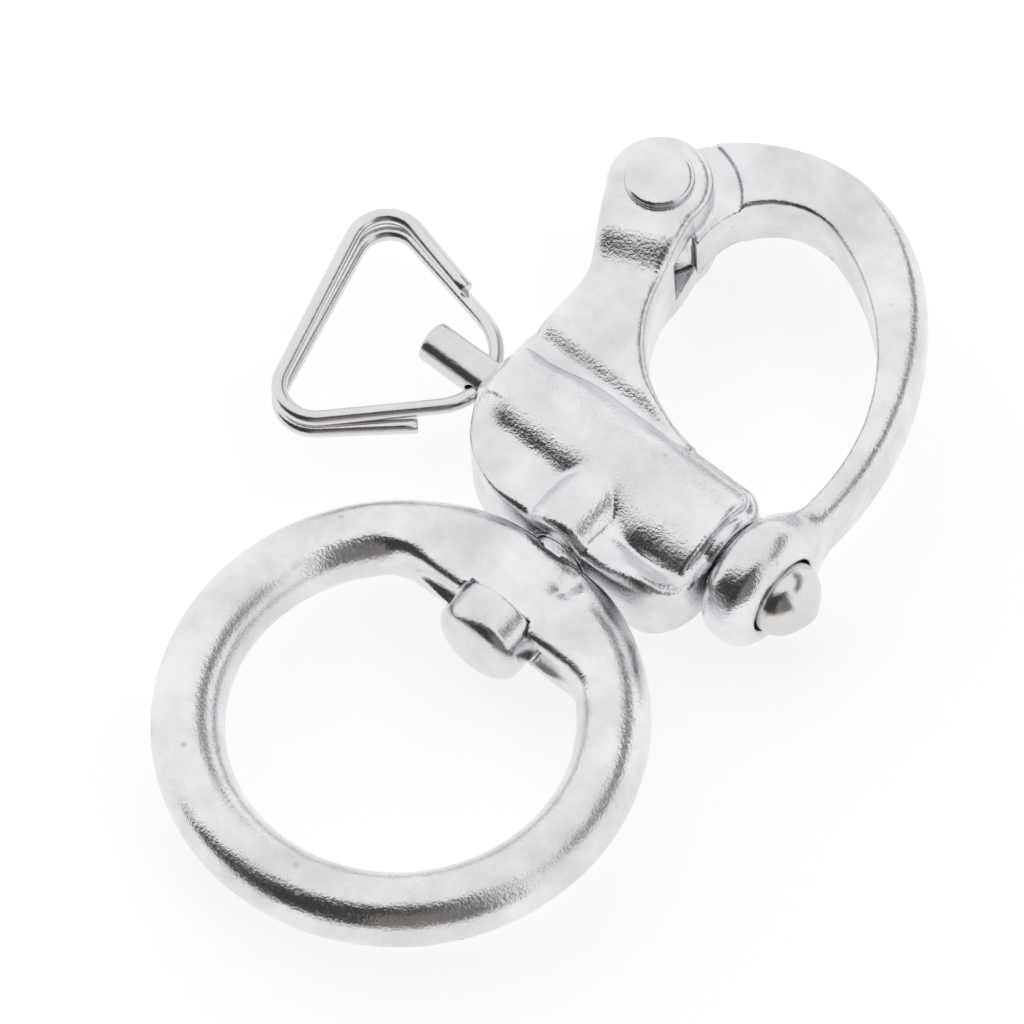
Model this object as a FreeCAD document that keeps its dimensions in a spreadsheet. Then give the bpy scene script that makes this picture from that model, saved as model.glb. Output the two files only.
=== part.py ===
"""Swivel-eye snap shackle, 87 mm long, in polished cast stainless steel.

Frame: origin at the centre of the swivel eye, +Y along the line of pull from the eye to the bail,
+X along the plunger towards its domed nose, +Z out of the flat front. Millimetres.
"""
import FreeCAD, Part
import math
import os
import Sketcher

V = FreeCAD.Vector
X_AXIS = V(1, 0, 0)
Y_AXIS = V(0, 1, 0)
Z_AXIS = V(0, 0, 1)
NEAR = 0.02     # places closer together than this are taken to be the same place

# The driving dimensions, in millimetres and degrees.
DIMENSIONS = {
    # swivel eye: a round bar ring with a flattened strap where the swivel pin goes through
    "eye_radius": 18.5, "eye_bar": 6.5, "strap_inner": 12.4, "strap_outer": 21.0, "strap_round": 21.3,
    "strap_thick": 6.1, "strap_edge": 2.0, "recess_floor": 13.6, "recess_wide": 17.0, "recess_tall": 3.4,
    # swivel pin: mushroom head inside the eye, shank through the strap into the body's boss
    "swivel_shank": 5.2, "swivel_hole": 5.32, "swivel_head": 8.6, "swivel_head_recess": 9.1,
    "swivel_face": 9.6, "swivel_seat": 13.5, "swivel_end": 26.2, "head_round": 0.9,
    # body casting: plate, plunger barrel, swivel boss, neck and the two ears of the clevis
    "body_left": -15.4, "body_right": 11.9, "body_low": 21.3, "body_top": 36.0, "plate_thick": 7.2,
    "toe_radius": 4.2, "heel_radius": 9.5, "shoulder_round": 1.2,
    "barrel_dia": 11.2, "barrel_right": 11.0, "boss_dia": 9.8, "boss_top": 30.0,
    "neck_thick": 9.2, "neck_left": -15.0, "neck_bend": 42.9, "neck_root": -7.2,
    "neck_foot": 6.0, "neck_radius": 14.0, "neck_back_radius": 8.0,
    "ear_dia": 9.4, "ear_thick": 12.4, "ear_low": 47.4, "ear_low_left": -17.7, "ear_low_right": -9.8,
    "ear_left": -19.65, "ear_left_top": 51.0, "ear_right": -10.95, "ear_right_top": 52.5,
    # bail pivot
    "pivot_x": -15.5, "pivot_y": 53.1, "slot_dia": 13.8, "slot_width": 6.1,
    "rivet_dia": 3.24, "rivet_hole": 3.3, "rivet_head": 6.2, "rivet_head_thick": 0.85, "rivet_bevel": 0.35,
    # bail: tongue in the clevis, crown and back as two tangent arcs inside and out, collar
    "bail_thick": 6.6, "tongue_thick": 5.8, "tongue_radius": 4.4, "tongue_hole": 3.4, "tongue_top": 97.0,
    "tongue_low": -8.0, "shoulder_dia": 13.4, "collar_left": 12.2, "collar_right": 17.5, "collar_dia": 12.5,
    "collar_hole": 7.5, "collar_edge": 2.0, "crown_x": -2.96, "crown_y": 48.65, "crown_radius": 16.6,
    "crown_start": 128.0, "throat_x": -3.13, "throat_y": 53.23, "throat_radius": 7.08,
    "throat_start": 155.0, "back_outer": 32.2, "back_inner": 21.8,
    "outer_join": 38.2, "inner_join": 72.4, "collar_root": 34.9,
    # plunger and its spring
    "plunger_y": 30.7, "nose_dia": 7.0, "nose_centre": 17.6, "bore_dia": 7.1, "shoulder_x": 0.6,
    "tail_dia": 3.8, "tail_bore": 3.9, "tail_end": -22.8, "spring_seat": -12.4,
    "spring_wire": 0.7, "spring_mean": 5.4, "spring_turns": 6.0, "spring_gap": 0.05,
    # pull ring: a triangle of wire, nearly two turns, whose one corner goes through the tail
    "cross_hole": 2.4, "cross_x": -16.62, "ring_wire": 1.4, "ring_pitch": 1.46, "ring_tilt": 196.4,
    "ring_corner_x": -11.1, "ring_corner_y": 33.15, "ring_side": 25.9, "half_corner": 30.35,
    "tail_corner": 5.66, "far_corner": 3.2, "front_end": 0.495, "back_inset_x": 1.0,
    "back_inset_y": -0.85, "back_end_x": -18.5, "back_end_y": 23.7,
    # how far a cut runs on past the metal
    "over": 1.0,
}

doc = FreeCAD.newDocument("snap_shackle")
sheet = doc.addObject("Spreadsheet::Sheet", "Dims")
for row, (alias, number) in enumerate(DIMENSIONS.items(), start=1):
    sheet.set(f"A{row}", alias)
    sheet.set(f"B{row}", str(number))
    sheet.setAlias(f"B{row}", alias)
doc.recompute()


def dim(alias):
    """The number that the sheet holds under this alias."""
    return float(sheet.get(alias))


# ---------------------------------------------------------------- building helpers

def new_body(name):
    """An empty PartDesign body whose label is the node's name."""
    body = doc.addObject("PartDesign::Body", name)
    body.Label = name
    return body


def new_sketch(body, name, role, offset=None):
    """A sketch on one of the body's own origin planes, moved along that plane's normal."""
    sketch = body.newObject("Sketcher::SketchObject", name)
    plane = next(part for part in body.Origin.OriginFeatures if part.Role == role)
    sketch.AttachmentSupport = [(plane, "")]
    sketch.MapMode = "FlatFace"
    if offset:
        sketch.setExpression("AttachmentOffset.Base.z", offset)
    return sketch


def place_point(sketch, geometry, point, x_name, y_name):
    """Hold one sketch point at two dimensions of the sheet."""
    for kind, alias in (("DistanceX", x_name), ("DistanceY", y_name)):
        index = sketch.addConstraint(Sketcher.Constraint(kind, -1, 1, geometry, point, dim(alias)))
        sketch.setExpression(f"Constraints[{index}]", f"Dims.{alias}")


def add_polygon(sketch, corners):
    """A closed polygon whose corners are pairs of sheet dimensions."""
    points = [V(dim(x_name), dim(y_name), 0) for x_name, y_name in corners]
    first = sketch.GeometryCount
    for start, end in zip(points, points[1:] + points[:1]):
        sketch.addGeometry(Part.LineSegment(start, end), False)
    for step in range(len(points)):
        following = first + (step + 1) % len(points)
        sketch.addConstraint(Sketcher.Constraint("Coincident", first + step, 2, following, 1))
    for step, (x_name, y_name) in enumerate(corners):
        place_point(sketch, first + step, 1, x_name, y_name)


def add_circle(sketch, size, x_name=None, y_name=None, share=1):
    """A circle at the sketch's origin or at two sheet dimensions, its diameter a share of a third."""
    centre = V(dim(x_name) if x_name else 0, dim(y_name) if y_name else 0, 0)
    circle = sketch.addGeometry(Part.Circle(centre, Z_AXIS, dim(size) * share / 2), False)
    if x_name:
        place_point(sketch, circle, 3, x_name, y_name)
    else:
        sketch.addConstraint(Sketcher.Constraint("PointOnObject", circle, 3, -1))
        sketch.addConstraint(Sketcher.Constraint("DistanceX", -1, 1, circle, 3, 0))
    index = sketch.addConstraint(Sketcher.Constraint("Diameter", circle, dim(size) * share))
    sketch.setExpression(f"Constraints[{index}]", f"Dims.{size} * {share}")


def extrude(body, kind, name, sketch, length, both_ways=False, flip=False):
    """A Pad or Pocket of the sketch, its length bound to an expression."""
    feature = body.newObject(f"PartDesign::{kind}", name)
    feature.Profile = sketch
    feature.setExpression("Length", length)
    feature.Midplane = both_ways
    feature.Reversed = flip
    sketch.Visibility = False
    doc.recompute()
    return feature


def edges_where(shape, test):
    """Names of the edges whose middle point passes the test."""
    found = []
    for number, edge in enumerate(shape.Edges, start=1):
        middle = edge.valueAt((edge.FirstParameter + edge.LastParameter) / 2)
        if test(edge, middle):
            found.append(f"Edge{number}")
    return found


def upright_edges(shape, x, y):
    """Names of the straight edges along Z at one place of the outline."""
    def test(edge, middle):
        upright = abs(edge.tangentAt(edge.FirstParameter).z) > 1 - NEAR
        return upright and math.hypot(middle.x - x, middle.y - y) < NEAR
    return edges_where(shape, test)


def round_edges(body, name, base, edges, radius):
    """A fillet on the named edges, its radius bound to the sheet."""
    fillet = body.newObject("PartDesign::Fillet", name)
    fillet.Base = (base, edges)
    fillet.setExpression("Radius", f"Dims.{radius}")
    doc.recompute()
    return fillet


# ---------------------------------------------------------------- swivel eye and its pin

def make_swivel_eye():
    """Round ring with a flattened strap on the +Y side, bored for the swivel pin."""
    name = "swivel_eye"
    ring = doc.addObject("Part::Torus", f"{name}_ring")
    ring.setExpression("Radius1", "Dims.eye_radius")
    ring.setExpression("Radius2", "Dims.eye_bar / 2")

    disc = doc.addObject("Part::Cylinder", f"{name}_disc")
    disc.setExpression("Radius", "Dims.strap_round")
    disc.setExpression("Height", "Dims.strap_thick")
    disc.setExpression("Placement.Base.z", "-Dims.strap_thick / 2")
    doc.recompute()
    rounded = round_rims(f"{name}_rounded", disc, rims_of(disc.Shape, "strap_round", 2), "strap_edge")
    chord = centred_box(f"{name}_chord", "Dims.eye_radius * 2", "Dims.strap_inner", "Dims.eye_radius",
                        "Dims.strap_thick + Dims.over")
    strap = join("Part::Common", f"{name}_strap", rounded, chord)
    blank = join("Part::Fuse", f"{name}_blank", ring, strap)

    outside = centred_box(f"{name}_outside", "Dims.eye_radius * 2", "Dims.strap_outer", "Dims.eye_bar",
                          "Dims.eye_bar * 2")
    inside = "Dims.strap_inner - Dims.over"
    recess = centred_box(f"{name}_recess", "Dims.recess_wide", inside,
                         f"Dims.recess_floor - ({inside})", "Dims.recess_tall")
    head_seat = along_y(f"{name}_seat", "swivel_head_recess", inside, f"Dims.recess_floor - ({inside})")
    hole = along_y(f"{name}_hole", "swivel_hole", inside, "Dims.eye_bar * 2")
    tools = doc.addObject("Part::MultiFuse", f"{name}_tools")
    tools.Shapes = [outside, recess, head_seat, hole]
    return label(join("Part::Cut", name, blank, tools), name)


def rims_of(shape, size, share=1):
    """Numbers of the round edges whose width is the sheet dimension times a share."""
    wide = dim(size) * share
    return [number for number, edge in enumerate(shape.Edges, start=1)
            if abs(edge.BoundBox.XLength - wide) < NEAR]


def round_rims(name, base, rims, radius):
    """A fillet of one sheet radius on the numbered edges."""
    fillet = doc.addObject("Part::Fillet", name)
    fillet.Base = base
    fillet.Edges = [(number, dim(radius), dim(radius)) for number in rims]
    return fillet


def centred_box(name, wide, low_y, deep, tall):
    """A box centred on the Y axis in X and Z, from low_y for a depth along +Y."""
    box = doc.addObject("Part::Box", name)
    box.setExpression("Length", wide)
    box.setExpression("Width", deep)
    box.setExpression("Height", tall)
    box.setExpression("Placement.Base.x", f"-({wide}) / 2")
    box.setExpression("Placement.Base.y", low_y)
    box.setExpression("Placement.Base.z", f"-({tall}) / 2")
    return box


def along_y(name, diameter, low_y, length):
    """A cylinder on the Y axis, from low_y for a length along +Y."""
    cylinder = doc.addObject("Part::Cylinder", name)
    cylinder.setExpression("Radius", f"Dims.{diameter} / 2")
    cylinder.setExpression("Height", length)
    cylinder.Placement = FreeCAD.Placement(V(0, 0, 0), FreeCAD.Rotation(X_AXIS, -90))
    cylinder.setExpression("Placement.Base.y", low_y)
    return cylinder


def join(kind, name, base, tool):
    """A two-object boolean of the given kind."""
    result = doc.addObject(kind, name)
    result.Base = base
    result.Tool = tool
    return result


def label(thing, name):
    """Name a finished sub-part and hand it back."""
    thing.Label = name
    return thing


def make_swivel_pin():
    """Mushroom-headed pin: the head inside the eye, the shank pressed into the body's boss."""
    name = "swivel_pin"
    head = along_y(f"{name}_head", "swivel_head", "Dims.swivel_face",
                   "Dims.swivel_seat - Dims.swivel_face")
    shank = along_y(f"{name}_shank", "swivel_shank", "Dims.swivel_face + Dims.over",
                    "Dims.swivel_end - Dims.swivel_face - Dims.over")
    blank = join("Part::Fuse", f"{name}_blank", head, shank)
    doc.recompute()
    return label(round_rims(name, blank, rims_of(blank.Shape, "swivel_head"), "head_round"), name)


# ---------------------------------------------------------------- body casting

def make_body():
    """One casting: plate, barrel, boss, neck and two ears, with its slot and bores cut out."""
    body = new_body("body")
    add_neck(body)
    outline = new_sketch(body, "plate_outline", "XY_Plane")
    add_polygon(outline, [("body_left", "body_low"), ("body_right", "body_low"),
                          ("body_right", "body_top"), ("body_left", "body_top")])
    plate = extrude(body, "Pad", "plate", outline, "Dims.plate_thick", both_ways=True)
    toe = upright_edges(plate.Shape, dim("body_right"), dim("body_low"))
    plate = round_edges(body, "toe_round", plate, toe, "toe_radius")
    corner = upright_edges(plate.Shape, dim("body_right"), dim("body_top"))
    round_edges(body, "shoulder", plate, corner, "shoulder_round")

    add_barrel_and_boss(body)
    cut_heel(body)
    add_ears(body)
    cut_openings(body)
    return body


def add_barrel_and_boss(body):
    """The plunger's barrel along X and the swivel's boss along Y."""
    section = new_sketch(body, "barrel_section", "YZ_Plane", "Dims.body_left")
    add_circle_on_x(section, "barrel_dia")
    extrude(body, "Pad", "barrel", section, "Dims.barrel_right - Dims.body_left")
    section = new_sketch(body, "boss_section", "XZ_Plane", "-Dims.body_low")
    add_circle(section, "boss_dia")
    extrude(body, "Pad", "boss", section, "Dims.boss_top - Dims.body_low", flip=True)


def add_circle_on_x(sketch, diameter):
    """A circle round the plunger's axis, in a sketch across X."""
    centre = V(dim("plunger_y"), 0, 0)
    circle = sketch.addGeometry(Part.Circle(centre, Z_AXIS, dim(diameter) / 2), False)
    sketch.addConstraint(Sketcher.Constraint("PointOnObject", circle, 3, -1))
    across = sketch.addConstraint(Sketcher.Constraint("DistanceX", -1, 1, circle, 3, dim("plunger_y")))
    sketch.setExpression(f"Constraints[{across}]", "Dims.plunger_y")
    size = sketch.addConstraint(Sketcher.Constraint("Diameter", circle, dim(diameter)))
    sketch.setExpression(f"Constraints[{size}]", f"Dims.{diameter}")


def cut_heel(body):
    """Trim plate and barrel to the round lower left corner."""
    radius = dim("heel_radius")
    left, low = dim("body_left"), dim("body_low")
    centre = V(left + radius, low + radius, 0)
    margin = radius / 2
    sketch = new_sketch(body, "heel_outline", "XY_Plane")
    arc = Part.ArcOfCircle(Part.Circle(centre, Z_AXIS, radius), math.pi, 1.5 * math.pi)
    corners = [V(left + radius, low, 0), V(left + radius, low - margin, 0),
               V(left - margin, low - margin, 0), V(left - margin, low + radius, 0),
               V(left, low + radius, 0)]
    sketch.addGeometry(arc, False)
    for start, end in zip(corners, corners[1:]):
        sketch.addGeometry(Part.LineSegment(start, end), False)
    extrude(body, "Pocket", "heel", sketch, "Dims.ear_thick", both_ways=True)


def add_neck(body):
    """The neck that carries the clevis, with wide curves into the plate."""
    sketch = new_sketch(body, "neck_outline", "XY_Plane")
    add_polygon(sketch, [("neck_left", "plunger_y"), ("neck_left", "neck_bend"),
                         ("ear_left", "ear_left_top"), ("ear_right", "ear_right_top"),
                         ("neck_root", "body_top"), ("neck_foot", "body_top"),
                         ("neck_foot", "plunger_y")])
    neck = extrude(body, "Pad", "neck_blank", sketch, "Dims.neck_thick", both_ways=True)
    front = upright_edges(neck.Shape, dim("neck_root"), dim("body_top"))
    neck = round_edges(body, "neck_front", neck, front, "neck_radius")
    back = upright_edges(neck.Shape, dim("neck_left"), dim("neck_bend"))
    round_edges(body, "neck_back", neck, back, "neck_back_radius")


def add_ears(body):
    """The thicker clevis end, round about the pivot."""
    sketch = new_sketch(body, "ear_outline", "XY_Plane")
    add_polygon(sketch, [("ear_low_left", "ear_low"), ("ear_low_right", "ear_low"),
                         ("ear_right", "ear_right_top"), ("ear_left", "ear_left_top")])
    extrude(body, "Pad", "ear_roots", sketch, "Dims.ear_thick", both_ways=True)
    sketch = new_sketch(body, "ear_circle", "XY_Plane")
    add_circle(sketch, "ear_dia", "pivot_x", "pivot_y")
    extrude(body, "Pad", "ears", sketch, "Dims.ear_thick", both_ways=True)


def cut_openings(body):
    """The clevis slot, the rivet's holes, the plunger's stepped bore and the swivel's hole."""
    sketch = new_sketch(body, "slot_outline", "XY_Plane")
    add_circle(sketch, "slot_dia", "pivot_x", "pivot_y")
    extrude(body, "Pocket", "slot", sketch, "Dims.slot_width", both_ways=True)
    sketch = new_sketch(body, "rivet_outline", "XY_Plane")
    add_circle(sketch, "rivet_hole", "pivot_x", "pivot_y")
    extrude(body, "Pocket", "rivet_holes", sketch, "Dims.ear_thick * 2", both_ways=True)

    section = new_sketch(body, "bore_section", "YZ_Plane", "Dims.spring_seat")
    add_circle_on_x(section, "bore_dia")
    extrude(body, "Pocket", "bore", section, "Dims.body_right - Dims.spring_seat + Dims.over", flip=True)
    section = new_sketch(body, "tail_section", "YZ_Plane", "Dims.body_left - Dims.over")
    add_circle_on_x(section, "tail_bore")
    extrude(body, "Pocket", "tail_way", section, "Dims.spring_seat - Dims.body_left + Dims.over * 2",
            flip=True)
    section = new_sketch(body, "swivel_section", "XZ_Plane", "-Dims.body_low + Dims.over")
    add_circle(section, "swivel_shank")
    extrude(body, "Pocket", "swivel_way", section, "Dims.swivel_end - Dims.body_low + Dims.over")


# ---------------------------------------------------------------- bail and its rivet

def arc_end(centre, radius, angle):
    """The point of a circle at an angle in degrees from +X."""
    turn = math.radians(angle)
    return centre + V(math.cos(turn), math.sin(turn), 0) * radius


def arc_between(centre, radius, start, end):
    """A counter-clockwise arc between two angles in degrees."""
    circle = Part.Circle(centre, Z_AXIS, radius)
    return Part.ArcOfCircle(circle, math.radians(start), math.radians(end))


def bow_side(centre, radius, back_radius, join_angle, start_angle):
    """Crown arc and the tangent, flatter back arc that ends upright beside the collar."""
    back_centre = arc_end(centre, radius - back_radius, join_angle)
    crown = arc_between(centre, radius, join_angle, start_angle)
    back = arc_between(back_centre, back_radius, 0, join_angle)
    return crown, back, arc_end(centre, radius, start_angle), arc_end(back_centre, back_radius, 0)


def make_bail():
    """The curved jaw: tongue, crown and back in one bar, and a closed collar for the plunger."""
    body = new_body("bail")
    add_collar(body)
    sketch = new_sketch(body, "bow_outline", "XY_Plane")
    crown = V(dim("crown_x"), dim("crown_y"), 0)
    throat = V(dim("throat_x"), dim("throat_y"), 0)
    outer = bow_side(crown, dim("crown_radius"), dim("back_outer"), dim("outer_join"),
                     dim("crown_start"))
    inner = bow_side(throat, dim("throat_radius"), dim("back_inner"), dim("inner_join"),
                     dim("throat_start"))
    pivot = V(dim("pivot_x"), dim("pivot_y"), 0)
    tongue_top = arc_end(pivot, dim("tongue_radius"), dim("tongue_top"))
    tongue_low = arc_end(pivot, dim("tongue_radius"), dim("tongue_low"))
    outer_foot = V(outer[3].x, dim("collar_root"), 0)
    inner_foot = V(inner[3].x, dim("collar_root"), 0)
    corners = [inner[2], tongue_low, pivot, tongue_top, outer[2]]
    for arc in outer[:2] + inner[:2]:
        sketch.addGeometry(arc, False)
    for start, end in list(zip(corners, corners[1:])) + [
            (outer[3], outer_foot), (outer_foot, inner_foot), (inner_foot, inner[3])]:
        sketch.addGeometry(Part.LineSegment(start, end), False)
    extrude(body, "Pad", "bow", sketch, "Dims.bail_thick", both_ways=True)

    cut_collar_hole(body)
    thin_tongue(body)
    return body


def add_collar(body):
    """The fat round collar that the plunger's nose goes through."""
    section = new_sketch(body, "collar_section", "YZ_Plane", "Dims.collar_left")
    add_circle_on_x(section, "collar_dia")
    collar = extrude(body, "Pad", "collar", section, "Dims.collar_right - Dims.collar_left")
    radius = dim("collar_dia") / 2

    def on_rim(edge, middle):
        outside = abs(math.hypot(middle.y - dim("plunger_y"), middle.z) - radius) < NEAR
        flat = edge.BoundBox.XLength < NEAR
        return outside and flat

    round_edges(body, "collar_round", collar, edges_where(collar.Shape, on_rim), "collar_edge")


def cut_collar_hole(body):
    """The hole that the nose locks into."""
    section = new_sketch(body, "collar_hole_section", "YZ_Plane", "Dims.collar_left - Dims.over")
    add_circle_on_x(section, "collar_hole")
    extrude(body, "Pocket", "collar_hole", section,
            "Dims.collar_right - Dims.collar_left + Dims.over * 2", flip=True)


def thin_tongue(body):
    """Cut both faces back round the pivot, so that the tongue fits between the ears."""
    depth = "(Dims.bail_thick - Dims.tongue_thick) / 2 + Dims.over"
    for side, offset in (("front", "Dims.tongue_thick / 2"), ("back", "-Dims.bail_thick / 2 - Dims.over")):
        sketch = new_sketch(body, f"{side}_shoulder", "XY_Plane", offset)
        add_circle(sketch, "shoulder_dia", "pivot_x", "pivot_y")
        extrude(body, "Pocket", f"{side}_thin", sketch, depth, flip=True)
    sketch = new_sketch(body, "tongue_circle", "XY_Plane")
    add_circle(sketch, "tongue_radius", "pivot_x", "pivot_y", share=2)
    extrude(body, "Pad", "tongue", sketch, "Dims.tongue_thick", both_ways=True)
    sketch = new_sketch(body, "tongue_hole_outline", "XY_Plane")
    add_circle(sketch, "tongue_hole", "pivot_x", "pivot_y")
    extrude(body, "Pocket", "tongue_hole", sketch, "Dims.bail_thick * 2", both_ways=True)


def make_pivot_rivet():
    """A shank through both ears with a formed head on each side."""
    name = "pivot_rivet"
    span = "Dims.ear_thick / 2 + Dims.rivet_head_thick"
    shank = upright_cylinder(f"{name}_shank", "rivet_dia", f"({span}) * 2", f"-({span})")
    heads = [
        upright_cylinder(f"{name}_front", "rivet_head", "Dims.rivet_head_thick", "Dims.ear_thick / 2"),
        upright_cylinder(f"{name}_back", "rivet_head", "Dims.rivet_head_thick", f"-({span})"),
    ]
    blank = doc.addObject("Part::MultiFuse", f"{name}_blank")
    blank.Shapes = [shank] + heads
    doc.recompute()
    outer = dim("ear_thick") / 2 + dim("rivet_head_thick")
    rims = [number for number in rims_of(blank.Shape, "rivet_head")
            if abs(abs(blank.Shape.Edges[number - 1].BoundBox.Center.z) - outer) < NEAR]
    chamfer = doc.addObject("Part::Chamfer", name)
    chamfer.Base = blank
    chamfer.Edges = [(number, dim("rivet_bevel"), dim("rivet_bevel")) for number in rims]
    return label(chamfer, name)


def upright_cylinder(name, diameter, height, low_z):
    """A cylinder on the pivot's axis."""
    cylinder = doc.addObject("Part::Cylinder", name)
    cylinder.setExpression("Radius", f"Dims.{diameter} / 2")
    cylinder.setExpression("Height", height)
    cylinder.setExpression("Placement.Base.x", "Dims.pivot_x")
    cylinder.setExpression("Placement.Base.y", "Dims.pivot_y")
    cylinder.setExpression("Placement.Base.z", low_z)
    return cylinder


# ---------------------------------------------------------------- plunger, spring and pull ring

def along_x(name, diameter, low_x, length):
    """A cylinder on the plunger's axis, from low_x for a length along +X."""
    cylinder = doc.addObject("Part::Cylinder", name)
    cylinder.setExpression("Radius", f"Dims.{diameter} / 2")
    cylinder.setExpression("Height", length)
    cylinder.Placement = FreeCAD.Placement(V(0, 0, 0), FreeCAD.Rotation(Y_AXIS, 90))
    cylinder.setExpression("Placement.Base.x", low_x)
    cylinder.setExpression("Placement.Base.y", "Dims.plunger_y")
    return cylinder


def make_plunger():
    """Thick nose with a domed tip, thin tail, and the pull ring's cross hole."""
    name = "plunger"
    nose = along_x(f"{name}_nose", "nose_dia", "Dims.shoulder_x", "Dims.nose_centre - Dims.shoulder_x")
    tail = along_x(f"{name}_tail", "tail_dia", "Dims.tail_end", "Dims.nose_centre - Dims.tail_end")
    dome = doc.addObject("Part::Sphere", f"{name}_dome")
    dome.setExpression("Radius", "Dims.nose_dia / 2")
    dome.setExpression("Placement.Base.x", "Dims.nose_centre")
    dome.setExpression("Placement.Base.y", "Dims.plunger_y")
    blank = doc.addObject("Part::MultiFuse", f"{name}_blank")
    blank.Shapes = [nose, tail, dome]
    cross = along_y(f"{name}_cross", "cross_hole", "Dims.plunger_y - Dims.tail_dia", "Dims.tail_dia * 2")
    cross.setExpression("Placement.Base.x", "Dims.cross_x")
    return label(join("Part::Cut", name, blank, cross), name)


def make_spring():
    """Compression coil round the tail, from the bore's step to the nose's shoulder."""
    name = "plunger_spring"
    room = "(Dims.shoulder_x - Dims.spring_seat - Dims.spring_wire - Dims.spring_gap * 2)"
    coil = doc.addObject("Part::Helix", f"{name}_coil")
    coil.setExpression("Radius", "Dims.spring_mean / 2")
    coil.setExpression("Height", room)
    coil.setExpression("Pitch", f"{room} / Dims.spring_turns")
    wire = doc.addObject("Part::Circle", f"{name}_wire")
    wire.setExpression("Radius", "Dims.spring_wire / 2")
    wire.Placement = FreeCAD.Placement(V(0, 0, 0), FreeCAD.Rotation(X_AXIS, 90))
    wire.setExpression("Placement.Base.x", "Dims.spring_mean / 2")
    sweep = doc.addObject("Part::Sweep", name)
    sweep.Sections = [wire]
    sweep.Spine = (coil, ["Edge1"])
    sweep.Solid = True
    sweep.Frenet = True
    sweep.Placement = FreeCAD.Placement(V(0, 0, 0), FreeCAD.Rotation(Y_AXIS, 90))
    sweep.setExpression("Placement.Base.x", "Dims.spring_seat + Dims.spring_wire / 2 + Dims.spring_gap")
    sweep.setExpression("Placement.Base.y", "Dims.plunger_y")
    return label(sweep, name)


def make_pull_ring():
    """Triangle of wire, nearly two turns, threaded once through the plunger's tail.

    The front turn starts partway along the upper side and ends in the tail's corner. The back turn
    starts there, cuts inside the front one at the top, and ends partway along the lower side.
    """
    side, half = dim("ring_side"), dim("ring_pitch") / 2
    apex = V(dim("ring_corner_x"), dim("ring_corner_y"), 0)
    upper = dim("ring_tilt") - dim("half_corner")
    lower = dim("ring_tilt") + dim("half_corner")
    far_top = arc_end(apex, side, upper)
    far_low = arc_end(apex, side, lower)

    first_end = apex + (far_top - apex) * dim("front_end")
    last_end = V(dim("back_end_x"), dim("back_end_y"), 0)
    back_top = far_top + V(dim("back_inset_x"), dim("back_inset_y"), 0)

    def lifted(point, height):
        return V(point.x, point.y, height)

    front = [first_end, far_top, far_low]
    back = [back_top, far_low, last_end]
    route = [lifted(point, half) for point in front] + [apex] + [lifted(point, -half) for point in back]
    radii = [dim("far_corner"), dim("far_corner"), dim("tail_corner"), dim("far_corner"), dim("far_corner")]
    path = rounded_path(route, radii)
    section = Part.Wire([Part.Circle(route[0], route[1] - route[0], dim("ring_wire") / 2).toShape()])
    solid = path.makePipeShell([section], True, False)
    ring = doc.addObject("Part::Feature", "pull_ring")
    ring.Shape = solid
    return label(ring, "pull_ring")


def rounded_path(route, radii):
    """Straight runs through the route's points, joined by tangent arcs of the given radii."""
    edges = []
    start = route[0]
    for before, corner, after, radius in zip(route, route[1:], route[2:], radii):
        incoming = (before - corner).normalize()
        outgoing = (after - corner).normalize()
        half_angle = incoming.getAngle(outgoing) / 2
        reach = radius / math.tan(half_angle)
        centre = corner + (incoming + outgoing).normalize() * (radius / math.sin(half_angle))
        enter = corner + incoming * reach
        leave = corner + outgoing * reach
        middle = centre + (corner - centre).normalize() * radius
        edges.append(Part.LineSegment(start, enter).toShape())
        edges.append(Part.Arc(enter, middle, leave).toShape())
        start = leave
    edges.append(Part.LineSegment(start, route[-1]).toShape())
    return Part.Wire(edges)


# ---------------------------------------------------------------- build, check and write

PIECES = [make_swivel_eye(), make_swivel_pin(), make_body(), make_bail(), make_pivot_rivet(),
          make_plunger(), make_spring(), make_pull_ring()]
doc.recompute()

for thing in doc.Objects:
    if "Invalid" in thing.State or "Error" in thing.State:
        raise SystemExit(f"{thing.Name} failed: {thing.State}")
for piece in PIECES:
    if piece.Shape.isNull() or not piece.Shape.isValid():
        raise SystemExit(f"{piece.Label} has no valid shape")

os.makedirs("parts", exist_ok=True)
for piece in PIECES:
    piece.Shape.exportStep(f"parts/{piece.Label}.step")
    box = piece.Shape.BoundBox
    print(f"{piece.Label}: {len(piece.Shape.Solids)} solid, {piece.Shape.Volume:.1f} mm3,",
          f"x {box.XMin:.2f}..{box.XMax:.2f}, y {box.YMin:.2f}..{box.YMax:.2f},",
          f"z {box.ZMin:.2f}..{box.ZMax:.2f}")
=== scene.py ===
"""Looks for the swivel-eye snap shackle: cast and polished steel pieces, studio and camera."""
import math

import bpy
import numpy as np
from mathutils import Matrix, Vector


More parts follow.
